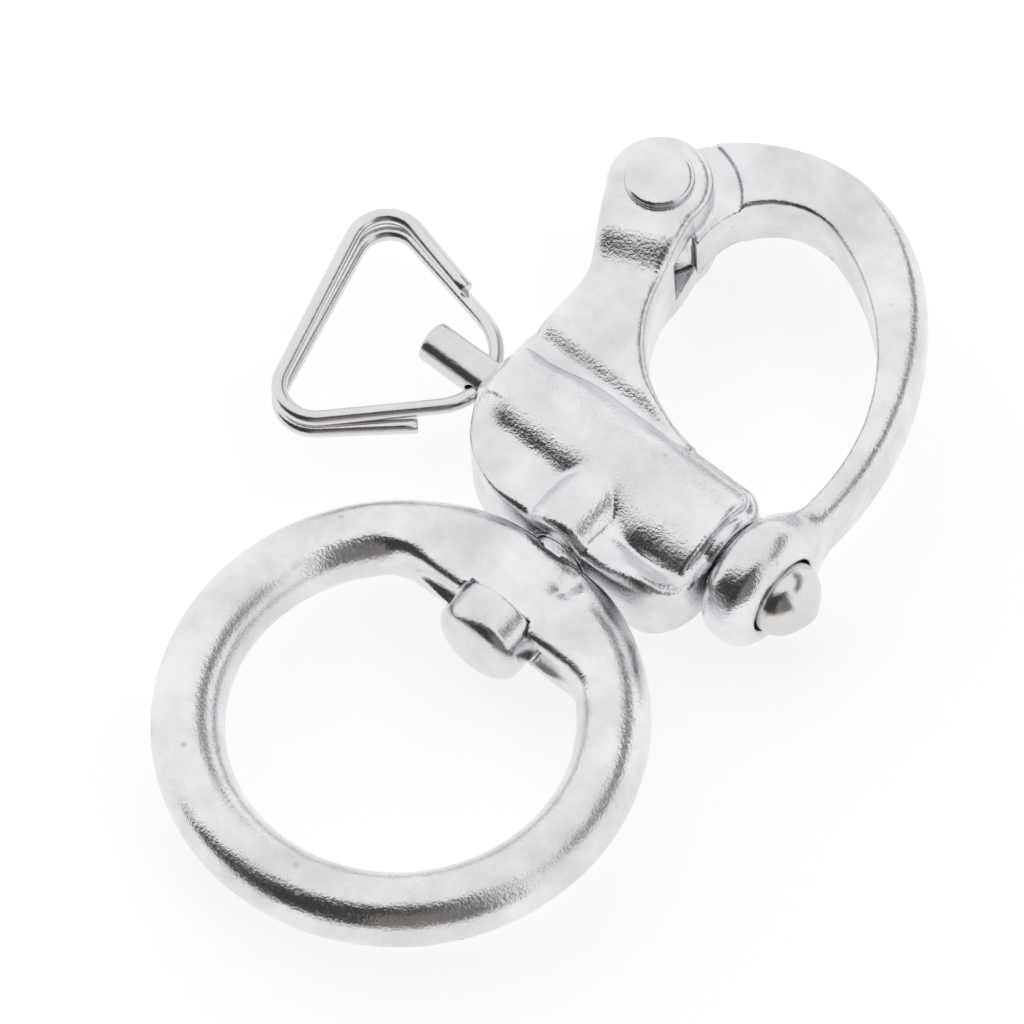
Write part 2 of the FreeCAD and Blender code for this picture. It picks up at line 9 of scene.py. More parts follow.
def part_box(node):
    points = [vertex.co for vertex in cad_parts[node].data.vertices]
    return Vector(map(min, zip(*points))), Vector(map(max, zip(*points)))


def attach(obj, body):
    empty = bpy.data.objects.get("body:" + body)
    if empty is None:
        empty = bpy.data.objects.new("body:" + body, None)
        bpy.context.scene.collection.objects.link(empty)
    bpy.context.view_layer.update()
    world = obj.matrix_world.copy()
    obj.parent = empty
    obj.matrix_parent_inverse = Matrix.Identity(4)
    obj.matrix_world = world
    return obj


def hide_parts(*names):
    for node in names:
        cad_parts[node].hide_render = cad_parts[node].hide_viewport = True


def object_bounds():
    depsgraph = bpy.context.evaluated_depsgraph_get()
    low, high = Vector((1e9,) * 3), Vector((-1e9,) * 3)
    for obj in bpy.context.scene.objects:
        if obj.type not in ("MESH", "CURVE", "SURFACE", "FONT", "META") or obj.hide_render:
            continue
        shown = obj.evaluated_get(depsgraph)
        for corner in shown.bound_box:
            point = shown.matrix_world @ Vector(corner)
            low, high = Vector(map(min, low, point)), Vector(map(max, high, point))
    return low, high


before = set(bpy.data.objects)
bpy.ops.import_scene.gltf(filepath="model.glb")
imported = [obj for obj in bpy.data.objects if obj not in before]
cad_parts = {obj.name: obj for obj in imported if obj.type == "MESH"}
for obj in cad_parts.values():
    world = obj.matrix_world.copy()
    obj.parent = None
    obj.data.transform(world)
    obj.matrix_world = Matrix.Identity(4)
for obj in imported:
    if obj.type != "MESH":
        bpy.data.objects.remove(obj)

CAD_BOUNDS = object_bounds()

MM = 0.001                      # every shape below is worked out in millimetres

# ------------------------------------------------------------------ places, from the frame


def node_box(node):
    """Lowest and highest corner of a CAD node, in millimetres."""
    low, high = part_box(node)
    return np.array(low) / MM, np.array(high) / MM


BODY_LOW, BODY_HIGH = node_box("body")
BAIL_LOW, BAIL_HIGH = node_box("bail")
PLUNGER_LOW, PLUNGER_HIGH = node_box("plunger")
RIVET_LOW, RIVET_HIGH = node_box("pivot_rivet")
PIN_LOW, PIN_HIGH = node_box("swivel_pin")
EYE_LOW, EYE_HIGH = node_box("swivel_eye")

PIVOT_X, PIVOT_Y = (RIVET_LOW[:2] + RIVET_HIGH[:2]) / 2
AXIS_Y = (PLUNGER_LOW[1] + PLUNGER_HIGH[1]) / 2        # the plunger's axis runs along X at this Y
EAR_HALF = BODY_HIGH[2]                                # half the clevis's thickness
BODY_BOTTOM = BODY_LOW[1]
BODY_RIGHT = BODY_HIGH[0]
COLLAR_RIGHT = BAIL_HIGH[0]
COLLAR_RADIUS = AXIS_Y - BAIL_LOW[1]
NOSE_RADIUS = (PLUNGER_HIGH[2] - PLUNGER_LOW[2]) / 2
EYE_THICK = EYE_HIGH[2] - EYE_LOW[2]

# ------------------------------------------------------------------ signed distance fields


def join(a, b, blend=0.0):
    """Union of two fields, with a smooth blend of the given width."""
    if np.all(blend <= 0):
        return np.minimum(a, b)
    share = np.clip(0.5 + 0.5 * (b - a) / blend, 0, 1)
    return b + (a - b) * share - blend * share * (1 - share)


def carve(a, b, blend=0.0):
    """Field a with field b taken away, the edge eased over the blend's width."""
    return -join(-a, b, blend)


def both(a, b, radius=0.0):
    """Intersection of two fields, the edge between them rounded to a radius."""
    over_a, over_b = a + radius, b + radius
    corner = np.hypot(np.maximum(over_a, 0), np.maximum(over_b, 0))
    return np.minimum(np.maximum(over_a, over_b), 0) + corner - radius


def ripple(x, y, z, wave):
    """Smooth unevenness of a hand-polished casting, within about -1 to 1."""
    k = 2 * math.pi / wave
    return (np.sin(k * (0.82 * x + 0.51 * y) + 0.4) * np.cos(k * (0.63 * z - 0.44 * x) + 1.1)
            + np.sin(k * (1.27 * y - 0.55 * x) + 2.2) * np.cos(k * (1.1 * x + 0.9 * z))) / 2


def rounded_rect(x, y, low, high, radii):
    """2-D distance to a rectangle with a radius for each corner.

    The radii are those at lower left, lower right, upper right and upper left.
    """
    mid_x, mid_y = (low[0] + high[0]) / 2, (low[1] + high[1]) / 2
    right, up = x > mid_x, y > mid_y
    radius = np.where(up, np.where(right, radii[2], radii[3]), np.where(right, radii[1], radii[0]))
    over_x = np.abs(x - mid_x) - (high[0] - low[0]) / 2 + radius
    over_y = np.abs(y - mid_y) - (high[1] - low[1]) / 2 + radius
    outside = np.hypot(np.maximum(over_x, 0), np.maximum(over_y, 0))
    return np.minimum(np.maximum(over_x, over_y), 0) + outside - radius


def direction(start, end):
    """Unit vector from one 2-D point to another."""
    way = np.array(end, float) - np.array(start, float)
    return way / np.linalg.norm(way)


def beyond_line(x, y, start, end):
    """2-D distance from a line from start to end, positive on its left."""
    along = direction(start, end)
    return (y - start[1]) * along[0] - (x - start[0]) * along[1]


def wedge(x, y, corner, end_a, end_b, radius):
    """2-D distance to the open corner counter-clockwise from one ray to the other, rounded."""
    a = radius - beyond_line(x, y, corner, end_a)
    b = radius + beyond_line(x, y, corner, end_b)
    cosine = -direction(corner, end_a) @ direction(corner, end_b)
    away = np.sqrt(np.maximum(a * a + b * b - 2 * a * b * cosine, 0) / (1 - cosine ** 2))
    in_corner = (a > cosine * b) & (b > cosine * a)
    return np.where(in_corner, away, np.maximum(a, b)) - radius


def smoothstep(value, low, high):
    """0 below low, 1 above high, and an even S curve between them."""
    share = np.clip((value - low) / (high - low), 0, 1)
    return share * share * (3 - 2 * share)


# ------------------------------------------------------------------ mesh from a field

def corner_slices(axis, offset_a, offset_b, counts):
    """Slices that pick, for every cell, the grid edge along an axis at one of its four places."""
    cut = [None, None, None]
    others = [other for other in range(3) if other != axis]
    cut[axis] = slice(0, counts[axis] - 1)
    for other, offset in zip(others, (offset_a, offset_b)):
        cut[other] = slice(offset, offset + counts[other] - 1)
    return tuple(cut), others


def surface_net(values, origin, step):
    """Points and quads of the zero surface of a sampled field, one point per crossed cell."""
    counts = values.shape
    cells = tuple(count - 1 for count in counts)
    sums = np.zeros(cells + (3,), np.float32)
    hits = np.zeros(cells, np.int16)
    inside = values < 0
    crossings = []
    for axis in range(3):
        a = np.moveaxis(values, axis, 0)
        first, second = np.moveaxis(a[:-1], 0, axis), np.moveaxis(a[1:], 0, axis)
        crossed = (first < 0) != (second < 0)
        share = np.zeros_like(first)
        share[crossed] = first[crossed] / (first[crossed] - second[crossed])
        crossings.append(crossed)
        for offset_a in (0, 1):
            for offset_b in (0, 1):
                cut, others = corner_slices(axis, offset_a, offset_b, counts)
                here = crossed[cut]
                hits += here
                sums[..., axis] += share[cut]
                sums[..., others[0]] += here * offset_a
                sums[..., others[1]] += here * offset_b
    active = hits > 0
    number = np.full(cells, -1, np.int64)
    number[active] = np.arange(active.sum())
    place = np.argwhere(active) + sums[active] / hits[active][:, None]
    quads = []
    for axis, crossed in enumerate(crossings):
        others = [other for other in range(3) if other != axis]
        inner = [slice(None)] * 3
        for other in others:
            inner[other] = slice(1, counts[other] - 1)
        spots = np.argwhere(crossed[tuple(inner)])
        for other in others:
            spots[:, other] += 1
        ring = []
        for step_a, step_b in ((-1, -1), (0, -1), (0, 0), (-1, 0)):
            cell = spots.copy()
            cell[:, others[0]] += step_a
            cell[:, others[1]] += step_b
            ring.append(number[tuple(cell.T)])
        ring = np.stack(ring, axis=1)
        outward = inside[tuple(spots.T)]
        flip = outward if axis == 1 else ~outward
        ring[flip] = ring[flip][:, ::-1]
        quads.append(ring)
    return place * step + np.array(origin), np.concatenate(quads)


def settle(points, field, step):
    """Move points onto the field's zero surface along its gradient."""
    reach = step * 0.05
    for _ in range(3):
        x, y, z = points.T
        here = field(x, y, z)
        slope = np.stack([
            field(x + reach, y, z) - field(x - reach, y, z),
            field(x, y + reach, z) - field(x, y - reach, z),
            field(x, y, z + reach) - field(x, y, z - reach)], axis=1) / (2 * reach)
        size = np.maximum((slope ** 2).sum(axis=1), 0.2)
        move = np.clip(here / size, -step * 0.6, step * 0.6)
        points = points - slope * move[:, None]
    return points


def cast_piece(name, field, low, high, step):
    """A smooth mesh object of the field inside the given box, in millimetres."""
    low, high = np.array(low) - 3 * step, np.array(high) + 3 * step
    axes = [np.arange(a, b + step, step) for a, b in zip(low, high)]
    grid = np.meshgrid(*axes, indexing="ij")
    points, quads = surface_net(field(*grid).astype(np.float32), low, step)
    points = settle(points, field, step)
    return mesh_object(name, points * MM, quads)


def mesh_object(name, points, faces):
    """A smooth-shaded mesh object, its places in metres."""
    mesh = bpy.data.meshes.new(name)
    mesh.from_pydata([tuple(p) for p in points], [], [tuple(f) for f in faces])
    mesh.update()
    mesh.polygons.foreach_set("use_smooth", [True] * len(mesh.polygons))
    piece = bpy.data.objects.new(name, mesh)
    bpy.context.collection.objects.link(piece)
    return piece


# ------------------------------------------------------------------ body casting

PLATE_HALF = 3.5
BODY_LEFT = -15.4
RIM_TOP = 35.8                       # the plate's upper edge beside the barrel
PLATE_CORNERS = (9.5, 4.4, 2.6, 0.8)
PLATE_EDGE, HEEL_EDGE = 1.1, 0.35    # edge radii, the second at the heel, the lower left corner
HEEL_X, HEEL_Y = (-8.5, -3.5), (22.5, 26.0)    # the heel fades out between these
SWELLINGS = (                        # middle, reach along X and Y, height
    ((8.0, 22.3), (2.6, 1.3), 1.0),      # pillow at the lower right
    ((-9.0, 24.5), (4.0, 2.6), 0.15),    # heel at the lower left
    ((7.0, 24.7), (3.0, 0.9), -0.7),     # hollow between the pillow and the barrel
)

BARREL_RADIUS = 5.6
BARREL_HIGH = (10.7, 35.0)           # right end and upper edge
BARREL_CORNERS = (9.5, 3.6, 1.7, 1.0)
BARREL_EDGE, BARREL_LEFT_EDGE = 0.35, 2.95
LEFT_PART, RIGHT_PART = (-12.5, -6.5), (1.0, 5.0)    # the barrel's ends change between these
BARREL_FULLER = 0.05, 0.15           # the underside's extra depth, and what the right end adds
FLANGE_RADIUS, FLANGE_EDGE = 4.45, 0.6
BOSS_X, BOSS_HALF, BOSS_FLATTER = -0.65, 5.2, 1.25

EAR_RADIUS = 4.7
NECK_HALF = 4.5
NECK_EDGE = 0.9
NECK_WAY = direction((PIVOT_X, PIVOT_Y), (-8.0, 36.0))
NECK_RIGHT = ((-7.2, RIM_TOP), (6.0, RIM_TOP), (-10.95, 52.5), 14.0)    # corner, two ends, radius
NECK_LEFT = ((-15.0, 42.9), (-19.65, 51.0), (-15.0, AXIS_Y), 8.0)
NECK_FOOT = AXIS_Y + 2.5
NECK_MOST_RIGHT = 3.2
GROOVE_Y = (34.8, 37.35)             # the neck rises out of the plate between these
EAR_STEP = (-9.3, -4.35)             # and to the ears' thickness here, measured back from the pivot
SLOT_RADIUS, SLOT_HALF = 6.9, 3.05

RIVET_BORE = 1.65
SPRING_SEAT = -12.4                  # where the barrel's wide bore ends, on the left
BARREL_BORE, TAIL_BORE = 3.55, 1.95
PIN_BORE, PIN_BORE_TOP = 2.6, 26.2


def lump(x, y, middle, reach, height):
    """A smooth swelling of a surface about one place."""
    return height * np.exp(-((x - middle[0]) / reach[0]) ** 2 - ((y - middle[1]) / reach[1]) ** 2)


def plate_field(x, y, front):
    """The casting's flat plate with its swellings."""
    outline = rounded_rect(x, y, (BODY_LEFT, BODY_BOTTOM), (BODY_RIGHT, RIM_TOP), PLATE_CORNERS)
    swell = sum(lump(x, y, *swelling) for swelling in SWELLINGS)
    to_heel = (1 - smoothstep(x, *HEEL_X)) * (1 - smoothstep(y, *HEEL_Y))
    edge = PLATE_EDGE + (HEEL_EDGE - PLATE_EDGE) * to_heel
    return both(outline, front - PLATE_HALF - swell, edge)


def barrel_field(x, y, z):
    """The barrel, rounded off at its left end and fuller underneath at its right end."""
    trim = rounded_rect(x, y, (BODY_LEFT, BODY_BOTTOM), BARREL_HIGH, BARREL_CORNERS)
    drop = AXIS_Y - y
    fuller = 1 - (BARREL_FULLER[0] + BARREL_FULLER[1] * smoothstep(x, *RIGHT_PART)) * (drop > 0)
    to_left = 1 - smoothstep(x, *LEFT_PART)
    edge = BARREL_EDGE + (BARREL_LEFT_EDGE - BARREL_EDGE) * to_left
    return both(np.hypot(drop * fuller, z) - BARREL_RADIUS, trim, edge)


def neck_field(x, y, front):
    """The neck up to the round ears, thicker in two steps."""
    around = np.hypot(x - PIVOT_X, y - PIVOT_Y)
    down_neck = (x - PIVOT_X) * NECK_WAY[0] + (y - PIVOT_Y) * NECK_WAY[1]
    sides = np.maximum(-wedge(x, y, *NECK_RIGHT), -wedge(x, y, *NECK_LEFT))
    blank = np.maximum(sides, np.maximum(-down_neck, NECK_FOOT - y))
    blank = np.maximum(blank, x - NECK_MOST_RIGHT)
    half = PLATE_HALF + (NECK_HALF - PLATE_HALF) * smoothstep(y, *GROOVE_Y)
    half = half + (EAR_HALF - NECK_HALF) * smoothstep(-down_neck, *EAR_STEP)
    return both(np.minimum(blank, around - EAR_RADIUS), front - half, NECK_EDGE)


def body_field(x, y, z):
    """Plate, barrel, boss and neck blended together, then the clevis's slot and the bores."""
    front = np.abs(z)
    drop = AXIS_Y - y
    under = smoothstep(drop, -1.0, 2.0) * (1 - smoothstep(x, *RIGHT_PART))
    solid = join(plate_field(x, y, front), barrel_field(x, y, z), 0.3 + 0.5 * under)

    squat = 1 + 0.05 * (drop > 0)
    flange = both(np.hypot(drop * squat, z) - FLANGE_RADIUS, x - BODY_RIGHT, FLANGE_EDGE)
    solid = join(solid, np.maximum(flange, -x), blend=0.25)

    boss = both(np.hypot((x - BOSS_X) * BOSS_FLATTER, z) - BOSS_HALF, BODY_BOTTOM - y, radius=1.0)
    solid = join(solid, both(boss, y - AXIS_Y, 1.0), blend=0.3)
    solid = join(solid, neck_field(x, y, front), blend=0.35)
    solid = solid + 0.02 * ripple(x, y, z, 6.0)

    around = np.hypot(x - PIVOT_X, y - PIVOT_Y)
    from_axis = np.hypot(drop, z)
    solid = carve(solid, np.maximum(around - SLOT_RADIUS, front - SLOT_HALF), blend=0.35)
    solid = carve(solid, around - RIVET_BORE, blend=0.1)
    solid = carve(solid, np.maximum(from_axis - BARREL_BORE, SPRING_SEAT - x), blend=0.4)
    solid = carve(solid, from_axis - TAIL_BORE, blend=0.2)
    return carve(solid, np.maximum(np.hypot(x, z) - PIN_BORE, y - PIN_BORE_TOP), blend=0.2)


# ------------------------------------------------------------------ bail

BAIL_HALF = 3.3
CROWN = (-2.96, 48.65, 16.6)         # centre and radius of the outer crown arc
THROAT = (-3.13, 53.23, 7.08)        # centre and radius of the inner crown arc
BACK_OUTER, BACK_INNER = 32.2, 21.8  # radii of the flatter arcs down the back
OUTER_JOIN, INNER_JOIN = 38.2, 72.4  # where the arcs meet, in degrees from +X
CROWN_FULLER = 0.4                   # the crown stands this far outside its arc
CROWN_EDGE, BACK_EDGE = 0.5, 1.8     # radii of the outer edge at the crown and down the back
INNER_EDGE = 0.6
DOWN_BACK = (-6.0, 9.0)              # crown values change to the back's between these
BOW_START = ((-16.1, 57.6), (-11.1, 52.4))    # a line along the bow's cut end at the clevis
BOW_FOOT = 34.9

SHOULDER_RADIUS = 7.15               # clears the ears round the pivot
TONGUE_RADIUS, TONGUE_HALF = 4.4, 2.65
TONGUE_BORE = 1.7
COLLAR_HALF = 2.65
COLLAR_BULGE = 0.045                 # how fast the collar narrows towards its ends
COLLAR_BORE = 3.72


def bow_contour(x, y, arc, back_radius, join_angle):
    """2-D distance to a contour: crown arc, a tangent flatter arc, then straight down."""
    centre_x, centre_y, radius = arc
    turn = math.radians(join_angle)
    back_x = centre_x + (radius - back_radius) * math.cos(turn)
    back_y = centre_y + (radius - back_radius) * math.sin(turn)
    angle = np.arctan2(y - centre_y, x - centre_x)
    crown = np.hypot(x - centre_x, y - centre_y) - radius
    back = np.hypot(x - back_x, y - back_y) - back_radius
    straight = x - (back_x + back_radius)
    behind_throat = math.radians(-140)
    on_crown = (angle > turn) | (angle < behind_throat)
    side = np.where(y > back_y, back, straight)
    return np.where(on_crown, crown, side)


def bail_field(x, y, z):
    """Tongue, bow and collar of the jaw."""
    front = np.abs(z)
    down_back = smoothstep(x, *DOWN_BACK)
    outer = bow_contour(x, y, CROWN, BACK_OUTER, OUTER_JOIN) - CROWN_FULLER * (1 - down_back)
    inner = bow_contour(x, y, THROAT, BACK_INNER, INNER_JOIN)
    outer_edge = CROWN_EDGE + (BACK_EDGE - CROWN_EDGE) * down_back
    bow = np.maximum(both(outer, front - BAIL_HALF, outer_edge),
                     both(-inner, front - BAIL_HALF, INNER_EDGE))
    bow = both(bow, -beyond_line(x, y, *BOW_START), radius=0.5)
    bow = both(bow, BOW_FOOT - y, radius=0.5)

    around = np.hypot(x - PIVOT_X, y - PIVOT_Y)
    bow = carve(bow, np.maximum(around - SHOULDER_RADIUS, TONGUE_HALF - front), blend=0.12)
    tongue = both(around - TONGUE_RADIUS, front - TONGUE_HALF, radius=0.3)
    bow = join(bow, tongue, blend=0.8)

    from_axis = np.hypot(y - AXIS_Y, z)
    middle = COLLAR_RIGHT - COLLAR_HALF
    bulge = COLLAR_BULGE * (x - middle) ** 2
    collar = both(from_axis - COLLAR_RADIUS + bulge, np.abs(x - middle) - COLLAR_HALF, radius=2.0)
    solid = join(bow, collar, blend=1.6)
    solid = solid + 0.03 * ripple(x + 3, y, z, 6.5)
    solid = carve(solid, from_axis - COLLAR_BORE, blend=0.4)
    return carve(solid, around - TONGUE_BORE, blend=0.1)


# ------------------------------------------------------------------ swivel eye and pin

EYE_RADIUS = 18.5                    # to the middle of the bar
STRAP_INNER, STRAP_OUTER = 12.3, 21.0
STRAP_HALF = 3.05
STRAP_RADIUS = 20.2                  # of the disc that the strap is cut from
STRAP_EDGE, STRAP_INNER_EDGE = 2.9, 1.2
STRAP_MERGES = (16.0, 18.6)          # the strap flows widest into the ring inside the first of these
STRAP_RAISED = ((6.4, 16.6), 5.5, 0.55)       # middle, spread and height of a raised place
STRAP_CREASE = ((3.4, 18.3), (1.4, 3.0), 0.65)
RECESS_HALF = (8.8, 1.9, 2.2)        # half axes of the hollow round the pin's head
RECESS_LOWER = 0.3                   # its middle lies this far below the strap's inner edge
SEAT_RADIUS, SEAT_Y = 4.5, 13.6
EYE_BORE = 2.66

SHANK_RADIUS, SHANK_LOW = 2.6, 12.0  # the shank begins inside the head
HEAD_EDGE, HEAD_TOP = 1.4, 13.5
HEAD_CROWN = 0.006                   # how fast the head's face falls away from its middle
HEAD_FULLER = 0.3


def eye_field(x, y, z):
    """Round bar ring whose top is flattened into a strap with a recess for the pin's head."""
    from_centre = np.hypot(x, y)
    ring = np.hypot(from_centre - EYE_RADIUS, z) - EYE_THICK / 2
    strap = both(from_centre - STRAP_RADIUS, np.abs(z) - STRAP_HALF, STRAP_EDGE)
    strap = both(strap, STRAP_INNER - y, STRAP_INNER_EDGE)
    solid = join(ring, strap, 0.25 + 1.1 * (1 - smoothstep(from_centre, *STRAP_MERGES)))
    solid = both(solid, y - STRAP_OUTER, radius=0.6)

    (raised_x, raised_y), spread, height = STRAP_RAISED
    raised = height * np.exp(-((x - raised_x) ** 2 + (y - raised_y) ** 2) / spread)
    (crease_x, crease_y), reach, depth = STRAP_CREASE
    crease = depth * np.exp(-((x - crease_x) ** 2 / reach[0] + (y - crease_y) ** 2 / reach[1]))
    solid = solid - raised + crease + 0.02 * ripple(x, y + 2, z, 6.0)

    half_x, half_y, half_z = RECESS_HALF
    inward = (y - STRAP_INNER + RECESS_LOWER) / half_y
    recess = (np.sqrt((x / half_x) ** 2 + inward ** 2 + (z / half_z) ** 2) - 1) * 1.6
    solid = carve(solid, recess, blend=0.25)
    seat = np.maximum(np.hypot(x, z) - SEAT_RADIUS, y - SEAT_Y)
    bores = np.maximum(np.minimum(seat, np.hypot(x, z) - EYE_BORE), -y)
    return carve(solid, bores, blend=0.1)


def pin_field(x, y, z):
    """Thick mushroom head with a soft rim, and the shank."""
    away = np.hypot(x, z)
    dome = PIN_LOW[1] - y + away ** 2 * HEAD_CROWN
    head = both(away - PIN_HIGH[0], dome - HEAD_FULLER, HEAD_EDGE)
    head = both(head, y - HEAD_TOP, radius=0.2)
    shank = np.maximum(np.maximum(away - SHANK_RADIUS, y - PIN_HIGH[1]), SHANK_LOW - y)
    return join(head, shank) + 0.015 * ripple(x, y, z, 4.0)


# ------------------------------------------------------------------ rivet and plunger

RIVET_SHANK = 1.62
RIVET_EDGE, RIVET_CROWN = 0.55, 0.012

SHOULDER_X = 0.6                     # the plunger is thick to the right of this
TAIL_RADIUS = 1.9
CONE_SLOPE, CONE_FACE = 0.62, 0.7    # the nose's small bevel and the flat inside it
CROSS_X = -16.62                     # the pull ring's hole through the tail
CROSS_RADIUS = 0.9


def rivet_field(x, y, z):
    """Shank and two pressed heads with slightly crowned faces."""
    away = np.hypot(x - PIVOT_X, y - PIVOT_Y)
    front = np.abs(z)
    face = front - (RIVET_HIGH[2] - RIVET_CROWN * away ** 2)
    radius = (RIVET_HIGH[0] - RIVET_LOW[0]) / 2
    heads = both(both(away - radius, face, RIVET_EDGE), EAR_HALF - front, radius=0.05)
    shank = np.maximum(away - RIVET_SHANK, front - RIVET_HIGH[2] + 0.4)
    return join(heads, shank) + 0.02 * ripple(x, y, z, 3.2)


def plunger_field(x, y, z):
    """Domed nose, shoulder, thin tail and its cross hole."""
    away = np.hypot(y - AXIS_Y, z)
    nose_end = PLUNGER_HIGH[0] - NOSE_RADIUS
    dome = np.sqrt((x - nose_end) ** 2 + away ** 2) - NOSE_RADIUS
    cone = x - PLUNGER_HIGH[0] + 0.1 + (away - CONE_FACE) * CONE_SLOPE
    dome = carve(dome, -cone / math.hypot(1, CONE_SLOPE), blend=0.8)
    nose = both(away - NOSE_RADIUS, SHOULDER_X - x, radius=0.3)
    nose = join(np.maximum(nose, x - nose_end), dome)
    tail = both(away - TAIL_RADIUS, PLUNGER_LOW[0] - x, radius=0.3)
    tail = np.maximum(tail, x - nose_end)
    return carve(join(nose, tail), np.hypot(x - CROSS_X, z) - CROSS_RADIUS, blend=0.15)


# ------------------------------------------------------------------ pull ring and spring

WIRE_RADIUS = 0.7
RING_LIFT = 0.72                     # the two turns lie this far in front of and behind the tail's axis
RING_TILT = 196.4                    # the way the triangle hangs from the plunger's tail
RING_APEX = (-11.1, 33.15)
RING_SIDE = 25.9
HALF_CORNER = 30.35
FRONT_END = 0.495                    # where the front end lies, as a share of the side from the apex
BACK_INSET = (1.0, -0.85)            # how the back turn's top corner lies inside the front one's
BACK_END = (-18.5, 23.7)
CORNER_RADIUS, APEX_RADIUS, BACK_RADIUS = 3.2, 5.66, 3.0

COIL_WIRE, COIL_MEAN = 0.35, 2.7     # radius of the wire, and of the coil to the wire's middle
COIL_TURNS = 8
COIL_GAP = 0.05


def polar(start, length, angle):
    """The point at a length and an angle in degrees from a 2-D start."""
    turn = math.radians(angle)
    return Vector((start[0] + length * math.cos(turn), start[1] + length * math.sin(turn), 0))


def spaced(start, end, spacing):
    """Evenly spaced points from start up to, but without, the end."""
    count = max(2, round((end - start).length / spacing))
    return [start.lerp(end, step / count) for step in range(count)]


def rounded_route(corners, radii, spacing, arc_steps=14):
    """Evenly spaced points along straight runs whose corners are arcs of the given radii."""
    points = []
    start = corners[0]
    for before, corner, after, radius in zip(corners, corners[1:], corners[2:], radii):
        incoming, outgoing = (before - corner).normalized(), (after - corner).normalized()
        half = incoming.angle(outgoing) / 2
        centre = corner + (incoming + outgoing).normalized() * (radius / math.sin(half))
        enter = corner + incoming * (radius / math.tan(half))
        leave = corner + outgoing * (radius / math.tan(half))
        points += spaced(start, enter, spacing)
        first, last = (enter - centre).normalized(), (leave - centre).normalized()
        points += [centre + first.slerp(last, step / arc_steps) * radius for step in range(arc_steps)]
        start = leave
    return points + spaced(start, corners[-1], spacing) + [corners[-1]]


def wire_mesh(name, points, radius, around=20, bevel=0.1):
    """A round wire along the points, with slightly broken square-cut ends."""
    ways = [(after - before).normalized()
            for before, after in zip([points[0]] + points[:-1], points[1:] + [points[-1]])]
    side = ways[0].orthogonal().normalized()
    rings = []
    for point, way in zip(points, ways):
        side = (side - way * side.dot(way)).normalized()
        rings.append((point, way, side, radius))
    point, way, side, _ = rings[0]
    rings.insert(0, (point - way * bevel, way, side, radius - bevel))
    point, way, side, _ = rings[-1]
    rings.append((point + way * bevel, way, side, radius - bevel))

    verts, faces = [], []
    for point, way, side, size in rings:
        other = way.cross(side)
        for step in range(around):
            turn = 2 * math.pi * step / around
            verts.append((point + (side * math.cos(turn) + other * math.sin(turn)) * size) * MM)
    for ring in range(len(rings) - 1):
        for step in range(around):
            a, b = ring * around + step, ring * around + (step + 1) % around
            faces.append((a, b, b + around, a + around))
    faces.append(tuple(reversed(range(around))))
    faces.append(tuple(range((len(rings) - 1) * around, len(rings) * around)))
    piece = mesh_object(name, verts, faces)
    for polygon in list(piece.data.polygons)[-2:]:
        polygon.use_smooth = False
    return piece


def pull_ring_piece():
    """Nearly two turns of wire, whose one corner goes through the plunger's tail."""
    apex = Vector(RING_APEX + (0,))
    top = polar(apex, RING_SIDE, RING_TILT - HALF_CORNER)
    low = polar(apex, RING_SIDE, RING_TILT + HALF_CORNER)
    lift = Vector((0, 0, RING_LIFT))
    route = [apex.lerp(top, FRONT_END) + lift, top + lift, low + lift, apex,
             top - lift + Vector(BACK_INSET + (0,)), low - lift, Vector(BACK_END + (0,)) - lift]
    radii = [CORNER_RADIUS, CORNER_RADIUS, APEX_RADIUS, BACK_RADIUS, CORNER_RADIUS]
    return wire_mesh("pull_ring_wire", rounded_route(route, radii, 1.2), WIRE_RADIUS)


def spring_piece():
    """The coil round the plunger's tail, from the barrel's seat to the plunger's shoulder."""
    start, end = SPRING_SEAT + COIL_WIRE + COIL_GAP, SHOULDER_X - COIL_WIRE - COIL_GAP
    turn_steps = 28
    points = []
    for step in range(COIL_TURNS * turn_steps + 1):
        share = step / (COIL_TURNS * turn_steps)
        turn = 2 * math.pi * COIL_TURNS * share
        along = 0.35 * smoothstep(share, 0.0, 1.0) + 0.65 * share
        points.append(Vector((start + (end - start) * along, AXIS_Y + COIL_MEAN * math.cos(turn),
                              COIL_MEAN * math.sin(turn))))
    return wire_mesh("plunger_coil", points, COIL_WIRE, around=12, bevel=0.05)


# ------------------------------------------------------------------ materials

class Graph:
    """Short ways to add nodes to one node tree."""

    def __init__(self, tree):
        self.nodes, self.links = tree.nodes, tree.links

    def feed(self, socket, value):
        """A number set on a socket, or another node's output linked to it."""
        if isinstance(value, (int, float)):
            socket.default_value = value
        else:
            self.links.new(value, socket)

    def math(self, operation, *values):
        """The result of a math node."""
        node = self.nodes.new("ShaderNodeMath")
        node.operation = operation
        for socket, value in zip(node.inputs, values):
            self.feed(socket, value)
        return node.outputs["Value"]

    def ranged(self, source, low, high, to_low=0.0, to_high=1.0, smooth=False):
        """A value mapped from one range to another, held at its ends."""
        node = self.nodes.new("ShaderNodeMapRange")
        node.interpolation_type = "SMOOTHSTEP" if smooth else "LINEAR"
        for socket, value in zip(("From Min", "From Max", "To Min", "To Max"), (low, high, to_low, to_high)):
            node.inputs[socket].default_value = value
        self.links.new(source, node.inputs["Value"])
        return node.outputs["Result"]

    def mixed(self, factor, first, second):
        """A colour between two, by a factor."""
        node = self.nodes.new("ShaderNodeMix")
        node.data_type = "RGBA"
        node.inputs["A"].default_value = (*first, 1)
        node.inputs["B"].default_value = (*second, 1)
        self.links.new(factor, node.inputs["Factor"])
        return node.outputs["Result"]


CLOUD_SCALE, SPECK_SCALE, WAVE_SCALE = 160, 3600, 420      # features per metre
PIT_SCALE, PIT_PATCH_SCALE = 420, 300
PIT_DEPTH = 0.02                     # millimetres


